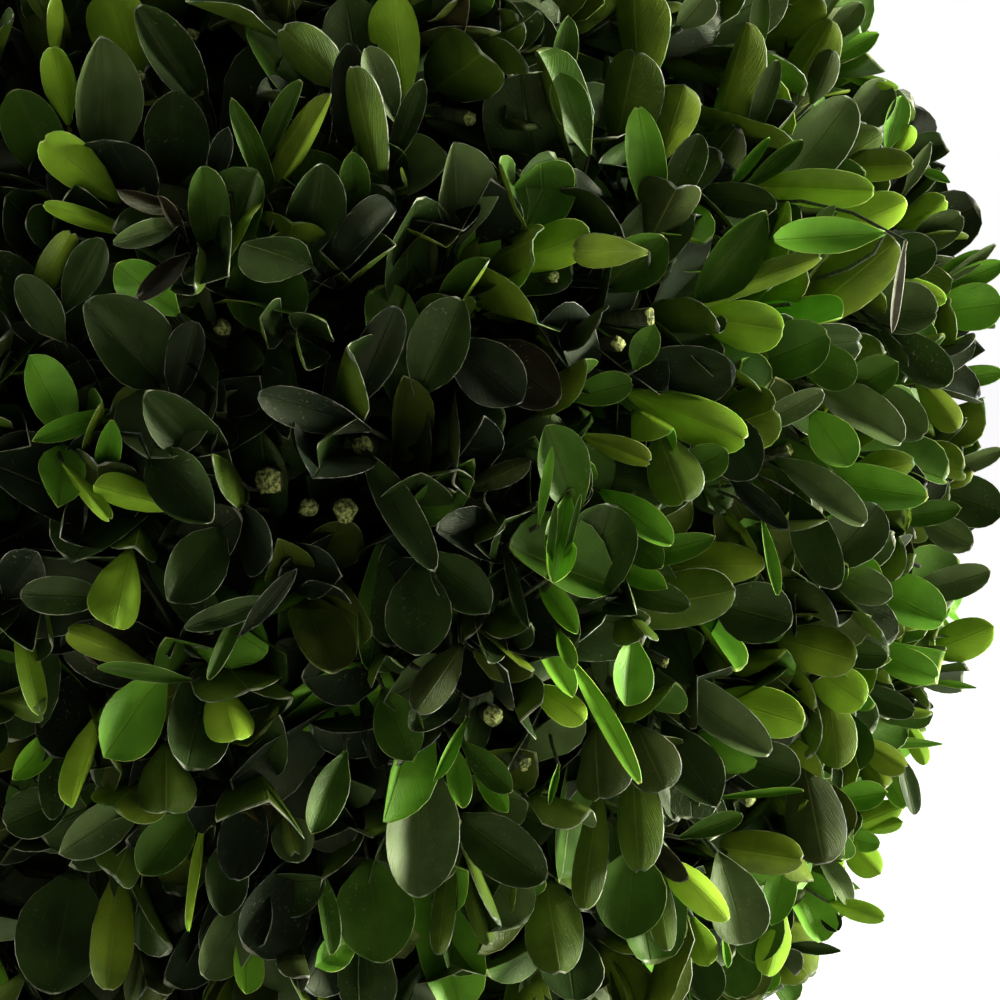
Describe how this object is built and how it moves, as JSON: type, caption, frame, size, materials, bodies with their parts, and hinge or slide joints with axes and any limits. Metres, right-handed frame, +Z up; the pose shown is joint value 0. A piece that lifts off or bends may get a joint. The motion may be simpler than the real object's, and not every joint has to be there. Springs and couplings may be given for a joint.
{
  "type": "box topiary ball",
  "caption": "Small-leaved evergreen shrub clipped to a dense round ball close above the ground, with a short flared trunk, rising boughs and leathery opposite leaves.",
  "frame": {"origin": "middle of the flat cut under the trunk, at ground level", "axes": "+Z up, out of the ground along the trunk; -Y is the side that the picture shows, with +X to its right"},
  "size_m": [0.3208, 0.317, 0.3229],
  "materials": {
    "bark": "grey-brown, finely cracked bark, matte",
    "foliage": "leathery leaves, dark glossy green above and paler olive green below"
  },
  "bodies": {
    "root": {"trunk": "bark", "bough_leader": "bark", "bough_upper_1": "bark", "bough_upper_2": "bark", "bough_upper_3": "bark", "bough_upper_4": "bark", "bough_upper_5": "bark", "bough_lower_1": "bark", "bough_lower_2": "bark", "bough_lower_3": "bark", "bough_lower_4": "bark", "bough_lower_5": "bark", "foliage_leader": "foliage", "foliage_upper_1": "foliage", "foliage_upper_2": "foliage", "foliage_upper_3": "foliage", "foliage_upper_4": "foliage", "foliage_upper_5": "foliage", "foliage_lower_1": "foliage", "foliage_lower_2": "foliage", "foliage_lower_3": "foliage", "foliage_lower_4": "foliage", "foliage_lower_5": "foliage"}
  },
  "joints": []
}
